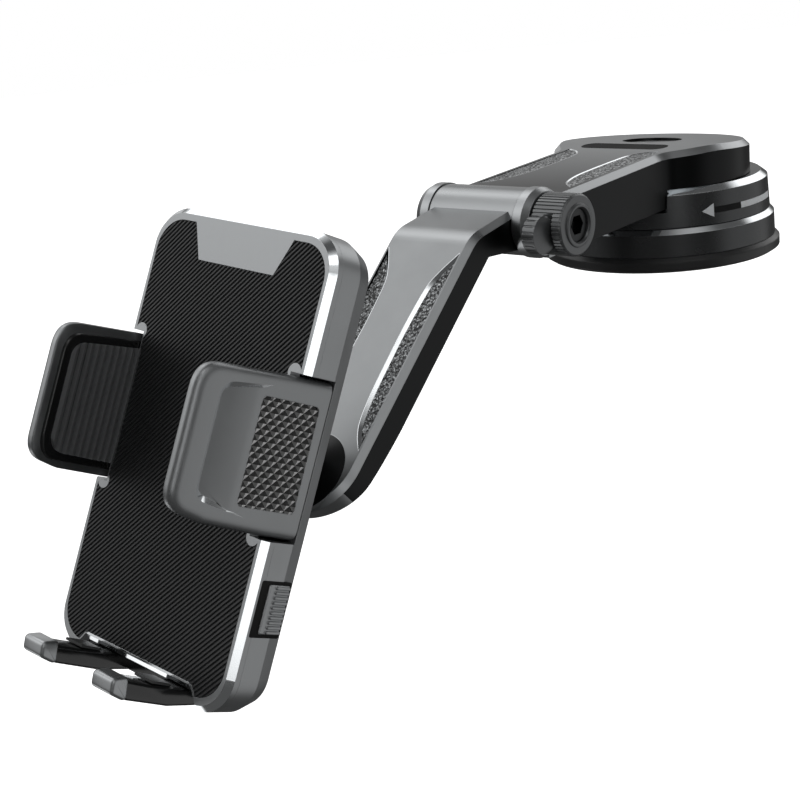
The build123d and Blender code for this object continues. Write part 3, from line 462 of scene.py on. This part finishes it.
# ------------------------------------------------------------------ jaws
JAW_CORNERS = [(-18.4, 0, 0), (-18.3, 9, 0), (-17.5, 26.0, 9), (-15.2, 36.0, 7.5), (17.3, 36.0, 6.5),
               (18.3, 9, 0), (18.4, 0, 0)]
LINING = [(-16.4, 9.2, 0.5), (-15.4, 33.9, 6.5), (15.0, 33.9, 5.5), (16.4, 9.2, 0.5)]
RIB_FIELD = [(-14.6, 9.2, 0.5), (-13.4, 31.6, 5.5), (13.0, 31.6, 4.5), (14.6, 9.2, 0.5)]
RECESS = [(15.2, 16.4, 0), (13.9, 29.6, 4.0), (-12.2, 29.6, 4.0), (-14.6, 15.8, 0), (-13.0, 19.2, 0),
          (13.2, 19.2, 0)]
GRIP = [(12.6, 2.3, 1.4), (12.6, 18.2, 1.0), (-12.3, 18.2, 1.4), (-12.3, 2.3, 1.0)]
JAW_LEAN = math.radians(8.0)
# grip facets, greys painted as light and shade by facing: up or down the cradle, towards or from the jaw's
# tip, grey
FACET_PAINTED_LIGHT = [(1, 1, 0.03), (1, -1, 0.012), (-1, -1, 0.95), (-1, 1, 0.30)]


def jaw_frame(side):
    """Outer face of a jaw: X up along the cradle, Y towards the jaw's tip, Z outwards."""
    x_axis = CRADLE.to_3x3() @ Vector((0, side, 0))
    z_axis = CRADLE.to_3x3() @ Vector((side * math.cos(JAW_LEAN), 0, math.sin(JAW_LEAN)))
    return axes_frame((CRADLE @ (Vector((side * 31.9, 0, 18.5)) * MM)), x_axis, z_axis)


def sided(points, side):
    """The outline as it is on the right jaw, mirrored for the left one, always counterclockwise."""
    return counterclockwise([(side * x, y) for x, y in points])


def recess_depth(y):
    """Depth of a jaw's recess: nothing near the grip patch, deepest near the tip, on one flat slope."""
    return max(0.0, 1.4 * (y - 20.4) / 7.9)


def ring_fill(bm, loops):
    """Flat region between an outer loop and the holes in it."""
    edges = []
    for loop in loops:
        for index in range(len(loop)):
            edge = bm.edges.get((loop[index - 1], loop[index]))
            edges.append(edge or bm.edges.new((loop[index - 1], loop[index])))
    bmesh.ops.triangle_fill(bm, use_beauty=True, use_dissolve=True, edges=edges)


def clipped(bm, outline):
    """Keeps only what lies inside a convex counterclockwise outline."""
    outline = counterclockwise(outline)
    for index, point in enumerate(outline):
        along = Vector(point) - Vector(outline[index - 1])
        if along.length > 1e-4:
            outward = (along.y, -along.x, 0)
            bmesh.ops.bisect_plane(bm, geom=bm.verts[:] + bm.edges[:] + bm.faces[:], plane_co=(*point, 0),
                                   plane_no=outward, dist=1e-5, clear_outer=True)


def grip_points(bm, outline, floor, tip):
    """Staggered four-sided points that fill the grip patch and end sharply at its border."""
    step_x, step_y = 2.62, 2.62
    for row in range(-12, 13):
        for column in range(-6, 8):
            x = row * step_x / 2
            y = 10.2 + column * step_y + (step_y / 2 if row % 2 else 0)
            foot = [bm.verts.new(p) for p in ((x + step_x / 2, y, floor), (x, y + step_y / 2, floor),
                                              (x - step_x / 2, y, floor), (x, y - step_y / 2, floor))]
            peak = bm.verts.new((x, y, tip))
            for index in range(4):
                bm.faces.new((foot[index - 1], foot[index], peak))
    clipped(bm, outline)


def jaw(side, name):
    """One clamping jaw: pillowed plate with a fading recess, a grip patch and a ribbed lining."""
    outline = sided(rounded(JAW_CORNERS, 9), side)
    levels = [(-3.0, 0.5), (-2.85, 0.15), (-2.6, 0.0), (-1.7, 0.0)]
    levels += [(-1.7 + 1.7 * math.sin(a), 2.6 * (1 - math.cos(a))) for a in
               [math.pi / 2 * k / 6 for k in range(1, 7)]]
    bm = bmesh.new()
    loops = stack(bm, outline, levels, top=False)
    for loop in loops:
        for vertex, (x, y) in zip(loop, outline):
            if y < 0.01:
                vertex.co.y = 0.0
    recess = sided(rounded(RECESS, 7), side)
    grip = sided(rounded(GRIP, 5), side)
    recess_top, grip_top = loop_of(bm, recess, 0.0), loop_of(bm, grip, 0.0)
    grip_floor = loop_of(bm, grip, -0.30)
    bridge(bm, grip_top, grip_floor)
    bm.faces.new(grip_floor)
    ring_fill(bm, [loops[-1], recess_top, grip_top])
    place = jaw_frame(side)
    finish(name + "_plate", bm, place, name, "jaw", replaces=[name], smooth=24)
    bm = bmesh.new()
    recess_low = inset(recess, 1.3)
    walls = [loop_of(bm, recess, 0.0), loop_of(bm, recess_low, lambda x, y: -recess_depth(y))]
    bridge(bm, *walls)
    # the recess's deeper faces get the bright mirror as painted highlight; the rest keeps the jaw's look
    for face in bm.faces:
        face.material_index = 1 if min(v.co.z for v in face.verts) < -0.12 else 0
    ring_fill(bm, [walls[1]])
    finish(name + "_recess", bm, place, name, ["jaw", "trim"], smooth=20)
    bm = bmesh.new()
    grip_points(bm, grip, -0.29, 0.17)
    tilt = place.to_3x3()
    out = tilt @ Vector((0, 0, 1))
    facets = [(tilt @ Vector((0.53 * side * up, 0.53 * tip, 0.21)), grey) for up, tip, grey in FACET_PAINTED_LIGHT]
    # the grip points' material paints light and shade on the facets by the side they face
    MATERIALS[name + "_points"] = painted_light_points(name + "_points", facets)
    finish(name + "_grip_points", bm, place, name, name + "_points", smooth=5, outward=out)
    # lining: a dark frame and a field of ribs that run up the jaw
    bm = bmesh.new()
    stack(bm, sided(rounded(LINING, 8), side), round_over(-3.85, -2.95, low=0.5, high=0.0))
    finish(name + "_lining", bm, place, name, "gloss", smooth=40)
    bm = bmesh.new()
    ribbed(bm, sided(rounded(RIB_FIELD, 8), side), 0.0, 1.0, angle=0.0, pitch=2.3, land=0.34, slope=0.16,
           sink=0.95)
    flip = place @ Matrix.Translation((0, 0, -3.8 * MM)) @ Matrix.Diagonal((1, 1, -1, 1))
    finish(name + "_ribs", bm, flip, name, "jaw_rib", replaces=[name + "_pad"], smooth=20)
    # rack, as the CAD has it, without the plate
    source = frame["nodes"][name].data
    bm = bmesh.new()
    bm.from_mesh(source)
    into = CRADLE.inverted()
    far = [v for v in bm.verts if (into @ v.co).z / MM > 22.6 or (into @ v.co).z / MM < 18.6]
    bmesh.ops.delete(bm, geom=far, context="VERTS")
    bmesh.ops.transform(bm, matrix=Matrix.Diagonal((1 / MM, 1 / MM, 1 / MM, 1)), verts=bm.verts[:])
    finish(name + "_rack", bm, WORLD, name, "gloss")


for side, name in ((1, "right_jaw"), (-1, "left_jaw")):
    jaw(side, name)

# ------------------------------------------------------------------ knob
KNOB_R, KNOB_TEETH, POCKET_R = 8.6, 46, 6.4
WING_END, BARREL_START = 24.6, 27.4
WING_L, WING_W, WING_TURN = 13.0, 5.3, math.radians(192)


def wing_radius(angle):
    """Polar radius of the two-lobed finger wing."""
    away = abs((angle - WING_TURN + math.pi / 2) % math.pi - math.pi / 2)
    centre = WING_L - WING_W
    if away > 1e-6 and WING_W / math.tan(away) <= centre:
        return WING_W / math.sin(away)
    return centre * math.cos(away) + math.sqrt(max(0.0, WING_W ** 2 - (centre * math.sin(away)) ** 2))


def knob_radius(angle, z):
    """Radius of the knob's skin: ribbed barrel, wing behind, and a pocket between wing and front ring."""
    ridge = (angle * KNOB_TEETH / (2 * math.pi)) % 1.0
    groove = 0.32 if ridge < 0.30 else 0.0
    wing = wing_radius(angle)
    if z < WING_END:
        return max(KNOB_R, wing) - groove
    if z < BARREL_START:
        slope = min(1.0, (z - WING_END) / 2.0)
        pocket = max(0.0, min(1.0, (wing - KNOB_R + 0.8) / 1.6))
        return max(KNOB_R, wing) * (1 - slope * pocket) + slope * pocket * POCKET_R - groove * (1 - pocket)
    return KNOB_R - groove


def polar_ring(bm, radius, z, turns):
    """Closed ring of vertices; radius is a number or a function of the angle."""
    ring = []
    for k in range(turns):
        a = 2 * math.pi * k / turns
        r = radius(a) if callable(radius) else radius
        ring.append(bm.verts.new((r * math.cos(a), r * math.sin(a), z)))
    return ring


bm = bmesh.new()
TURNS = KNOB_TEETH * 10
KNOB_LEVELS = [20.4, 20.7, 22.0, 23.4, 24.6, 25.1, 25.6, 26.1, 26.6, 27.3, 27.5, 28.2, 29.2, 29.9]
KNOB_FACE = [(8.3, 30.2), (8.0, 30.45), (6.1, 30.5), (5.9, 30.9), (5.5, 31.1), (5.0, 31.05), (4.85, 30.7),
             (4.65, 30.4), (4.6, 28.0)]
rings = [polar_ring(bm, lambda a: knob_radius(a, KNOB_LEVELS[0]) - 0.3, KNOB_LEVELS[0], TURNS)]
for height in KNOB_LEVELS[1:]:
    rings.append(polar_ring(bm, lambda a: knob_radius(a, height), height, TURNS))
rings += [polar_ring(bm, radius, height, TURNS) for radius, height in KNOB_FACE]
for lower, upper in zip(rings, rings[1:]):
    bridge(bm, lower, upper)
bm.faces.new(reversed(rings[0]))
finish("ribbed_knob", bm, HINGE, "knob", "knob", replaces=["hinge_knob"], smooth=22)

# ------------------------------------------------------------------ steps beside the inlays, a bright mirror as painted highlight
GROOVE = [(16.9, -25.0), (12.5, -27.5), (9.6, -32.0), (8.9, -40.0), (8.8, -50.0), (9.4, -60.0), (12.0, -68.0),
          (16.9, -73.0)]
LENS = [(12.7, -5.0), (9.2, -11.5), (7.4, -17.0), (6.8, -28.0), (6.9, -38.0), (7.3, -50.0), (8.3, -58.0),
        (10.0, -62.5), (12.7, -66.5)]


def smooth_line(points, steps=8):
    """Curve through the points, evenly bent."""
    padded = [points[0]] + points + [points[-1]]
    line = []
    for a, b, c, d in zip(padded, padded[1:], padded[2:], padded[3:]):
        a, b, c, d = Vector(a), Vector(b), Vector(c), Vector(d)
        for step in range(steps):
            t = step / steps
            line.append(0.5 * (2 * b + (c - a) * t + (2 * a - 5 * b + 4 * c - d) * t * t
                               + (3 * b - a - 3 * c + d) * t ** 3))
    return line + [Vector(points[-1])]


def step_trim(name, points, matrix, body, width, depth):
    """Narrow sloped step that follows a groove's inner edge on both sides of the arm, a bright mirror as
    painted highlight.
    """
    section = [(-0.15, 0.015), (0.05, 0.015), (width, -depth), (width, -depth - 0.03), (-0.15, -depth - 0.03)]
    line = smooth_line(points)
    bm = bmesh.new()
    for side in (1, -1):
        rows = []
        for index, here in enumerate(line):
            along = (line[min(index + 1, len(line) - 1)] - line[max(index - 1, 0)]).normalized()
            out = Vector((-along.y, along.x))
            out = out if out.x > 0 else -out
            rows.append([bm.verts.new((side * (here.x + out.x * w), here.y + out.y * w, h))
                         for w, h in section])
        for low, high in zip(rows, rows[1:]):
            bridge(bm, low, high)
        bm.faces.new(rows[0])
        bm.faces.new(rows[-1])
    finish(name, bm, matrix, body, "trim", smooth=25)


step_trim("base_arm_steps", GROOVE, TOP, "base", 0.4, 0.17)
bm = bmesh.new()
for mirror in (1, -1):
    field = counterclockwise([(mirror * p.x, p.y) for p in smooth_line(GROOVE)])
    stack(bm, inset(field, 0.14), [(-0.58, 0), (-0.18, 0)])
finish("base_arm_grain", bm, TOP, "base", "grain", replaces=["base_arm_inlays"])
step_trim("lower_arm_steps", LENS, FACE, "lower_arm", 0.95, 0.57)

# ------------------------------------------------------------------ marks of the base, and painted shade in its slot
SLOT = arc(11.75, -19.5, 3.7, -90, 90, 12) + arc(-11.75, -19.5, 3.7, 90, 270, 12)
bm = bmesh.new()
# black sheet filling the slot to near its top, as painted shade
stack(bm, inset(SLOT, 0.03), [(-1.38, 0), (-0.10, 0)])
finish("slot_painted_shade", bm, TOP, "base", "deep")


def on_dial(bm, edges, height=0.07):
    """Thin mark wrapped on the dial's wall; edges are (azimuth, low z, high z)."""
    rows = []
    for azimuth, low_z, high_z in edges:
        a = math.radians(azimuth)
        row = []
        for z, lift in ((low_z, -0.2), (low_z, height), (high_z, height), (high_z, -0.2)):
            r = 35.1 - (z - 13.35) * 0.06 + lift
            row.append(bm.verts.new((r * math.cos(a), r * math.sin(a), z)))
        rows.append(row)
    for low, high in zip(rows, rows[1:]):
        bridge(bm, low, high)
    bm.faces.new(rows[0])
    bm.faces.new(rows[-1])


ARROW_Z, HEAD, SHAFT = 17.6, 2.1, 0.95
bm = bmesh.new()
on_dial(bm, [(-36.4 + k, ARROW_Z - 0.02 - HEAD * k / 6.6, ARROW_Z + 0.02 + HEAD * k / 6.6)
             for k in (0, 1.1, 2.2, 3.3, 4.4, 5.5, 6.6)])
on_dial(bm, [(-12.5 + 2.5 * k, ARROW_Z - SHAFT, ARROW_Z + SHAFT) for k in range(14)])
finish("lock_arrow", bm, WORLD, "dial", "paint", smooth=30)
bm = bmesh.new()
on_dial(bm, [(-29.8 + 1.73 * k, ARROW_Z - SHAFT, ARROW_Z + SHAFT) for k in range(11)])
finish("lock_arrow_shaft", bm, WORLD, "dial", "deep", smooth=30)

# ------------------------------------------------------------------ foot
LEG = [(-61.8, 18.6, 1.0), (-62.0, 30.0, 3), (-60.6, 42.5, 3), (-59.7, 45.0, 1.0), (-56.0, 45.2, 1.0),
       (-56.9, 37.0, 3), (-57.6, 28.0, 3), (-57.6, 18.6, 1.0)]
LUG = [(-61.0, 42.4, 1.1), (-59.2, 47.5, 1.4), (-55.6, 47.8, 1.3), (-55.1, 43.2, 1.1)]
LEG_IN, LEG_OUT = 9.5, 17.0


def side_frame(u):
    """Frame across the cradle at u: X up the cradle, Y out of its front, Z to its right."""
    x_axis, z_axis = CRADLE.to_3x3() @ Vector((0, 1, 0)), CRADLE.to_3x3() @ Vector((1, 0, 0))
    return axes_frame(CRADLE @ (Vector((u, 0, 0)) * MM), x_axis, z_axis)


legs, lugs = bmesh.new(), bmesh.new()
for start in (LEG_IN, -LEG_OUT):
    end = start + LEG_OUT - LEG_IN
    stack(legs, counterclockwise(rounded(LEG)), round_over(start, end, 0.7, 0.7))
    stack(lugs, counterclockwise(rounded(LUG)), round_over(start - 0.1, end + 0.1, 0.8, 0.8))
finish("foot_legs", legs, side_frame(0), "foot", "gloss", replaces=["foot_slide"])
# the lugs are grey over the black gloss legs: painted highlight on the tips' faces
finish("foot_lugs", lugs, side_frame(0), "foot", "tip")
bm = bmesh.new()
stack(bm, rounded([(-16, -61, 0.5), (16, -61, 0.5), (16, -30, 1), (-16, -30, 1)]), [(18.6, 0), (22.4, 0)])
finish("foot_body", bm, CRADLE, "foot", "gloss")
# sloped edge of the foot's opening in the front plate, a bright mirror as painted highlight
bm = bmesh.new()
OPENING_EDGE = [(-55.45, 27.53), (-56.0, 27.53), (-57.3, 26.3), (-57.3, 25.6), (-55.45, 25.6)]
rows = [[bm.verts.new((x, y, z)) for y, z in OPENING_EDGE] for x in (-19.4, 19.4)]
bridge(bm, *rows)
bm.faces.new(rows[0])
bm.faces.new(rows[1])
finish("foot_opening_edge", bm, CRADLE, "cradle", "trim")

# ------------------------------------------------------------------ release buttons, and black sheets in their wells as painted shade
BUTTON_LOW, BUTTON_HIGH, RIDGES = -40.05, -28.55, 10
RIDGE_PITCH = (BUTTON_HIGH - BUTTON_LOW) / RIDGES


def key_outline(side, depth, height, radius, steps=7):
    """Rounded rectangle on the cradle's side: depth and height are (from, to) pairs."""
    corners = [(depth[0], height[0], radius), (depth[1], height[0], radius), (depth[1], height[1], radius),
               (depth[0], height[1], radius)]
    return counterclockwise([(x, -side * y) for x, y in rounded(corners, steps)])


for side, name in ((1, "right"), (-1, "left")):
    place = axes_frame(CRADLE @ (Vector((side * 31.9, 0, 0)) * MM),
                       CRADLE.to_3x3() @ Vector((0, 0, 1)), CRADLE.to_3x3() @ Vector((side, 0, 0)))
    bm = bmesh.new()
    # black sheet in the button's well, as painted shade
    stack(bm, key_outline(side, (15.9, 25.3), (-40.9, -27.7), 0.6), [(-0.3, 0), (0.05, 0)])
    finish(name + "_button_well_shade", bm, place, "cradle", "deep")
    bm = bmesh.new()
    stack(bm, key_outline(side, (16.4, 22.9), (BUTTON_LOW, BUTTON_HIGH), 0.4),
          [(-3.0, 0), (0.2, 0), (0.45, 0.3)])
    for ridge in range(RIDGES):
        start = BUTTON_LOW + (ridge + 0.22) * RIDGE_PITCH
        stack(bm, key_outline(side, (16.5, 21.0), (start, start + 0.56 * RIDGE_PITCH), 0.2, 3),
              [(0.4, 0), (0.85, 0), (0.95, 0.12)])
    finish(name + "_ridged_button", bm, place, name + "_button", "cradle",
           replaces=[name + "_button"], smooth=25)

# ------------------------------------------------------------------ floor, light, camera
low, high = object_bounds()
bpy.ops.mesh.primitive_circle_add(vertices=96, radius=6.0, fill_type="NGON", location=(0, -0.1, low.z - 0.30))
floor = bpy.context.object
floor.name = "floor"
material = bpy.data.materials.new("floor_white")
material.use_nodes = True
shader = material.node_tree.nodes["Principled BSDF"]
shader.inputs["Base Color"].default_value = (0.8, 0.8, 0.8, 1)
shader.inputs["Roughness"].default_value = 0.9
shader.inputs["Emission Color"].default_value = (1, 1, 1, 1)
shader.inputs["Emission Strength"].default_value = 0.9
floor.data.materials.append(material)
floor.visible_glossy = False
floor.visible_diffuse = False

# soft boxes seen only by the object: direction, inner and outer half angle in degrees, strength
SOFT_BOXES = [
    ((-0.62, -0.28, 0.73), 20, 44, 0.90),
    ((-0.65, -0.68, 0.34), 14, 36, 0.50),
    ((-0.60, 0.32, 0.73), 9, 20, 1.15),
    ((0.75, -0.61, 0.21), 9, 17, 1.30),
    ((0.48, -0.32, 0.82), 6, 12, 1.40),
    ((0.69, -0.20, 0.70), 12, 34, 0.50),
    ((0.72, 0.60, -0.35), 24, 44, 0.48),
    ((-0.84, 0.53, 0.10), 10, 22, 0.35),
    ((0.02, 0.86, 0.46), 12, 28, 1.25),
    ((-0.62, 0.72, 0.31), 8, 26, 0.36),
    ((-0.70, -0.28, -0.65), 10, 18, 1.20),
]
AMBIENT = 0.075
world = bpy.data.worlds.new("studio")
bpy.context.scene.world = world
world.use_nodes = True
nodes = Nodes(world.node_tree)
direction = nodes.add("ShaderNodeTexCoord").outputs["Generated"]
total = None
for aim, inner, outer, strength in SOFT_BOXES:
    dot = nodes.add("ShaderNodeVectorMath", operation="DOT_PRODUCT",
                    inputs={0: direction, 1: Vector(aim).normalized()})
    lobe = nodes.add("ShaderNodeMapRange", interpolation_type="SMOOTHSTEP",
                     inputs={"Value": dot.outputs["Value"], "From Min": math.cos(math.radians(outer)),
                             "From Max": math.cos(math.radians(inner)), "To Min": 0.0, "To Max": strength})
    total = lobe.outputs[0] if total is None else nodes.math("ADD", total, lobe.outputs[0])
total = nodes.math("ADD", total, AMBIENT)
path = nodes.add("ShaderNodeLightPath")
lit = nodes.add("ShaderNodeMix", data_type="FLOAT",
                inputs={"Factor": path.outputs["Is Camera Ray"], "A": total, "B": 1.0})
background = world.node_tree.nodes["Background"]
world.node_tree.links.new(lit.outputs["Result"], background.inputs["Strength"])
background.inputs["Color"].default_value = (1, 1, 1, 1)

CAMERA_AT = (0.26528, -0.41862, 0.10419)
azimuth, elevation, roll = (math.radians(v) for v in (42.91, 16.91, -5.23))
back = Vector((math.sin(azimuth) * math.cos(elevation), -math.cos(azimuth) * math.cos(elevation),
               math.sin(elevation)))
level = Vector((math.cos(azimuth), math.sin(azimuth), 0))
rise = back.cross(level)
right = level * math.cos(roll) + rise * math.sin(roll)
camera = bpy.data.objects.new("camera", bpy.data.cameras.new("camera"))
bpy.context.scene.collection.objects.link(camera)
camera.data.lens, camera.data.sensor_width = 67.5, 36.0
camera.data.clip_start, camera.data.clip_end = 0.01, 50.0
view = Matrix((right, back.cross(right), back)).transposed().to_4x4()
view.translation = Vector(CAMERA_AT)
camera.matrix_world = view
bpy.context.scene.camera = camera
bpy.context.scene.view_settings.view_transform = "Standard"
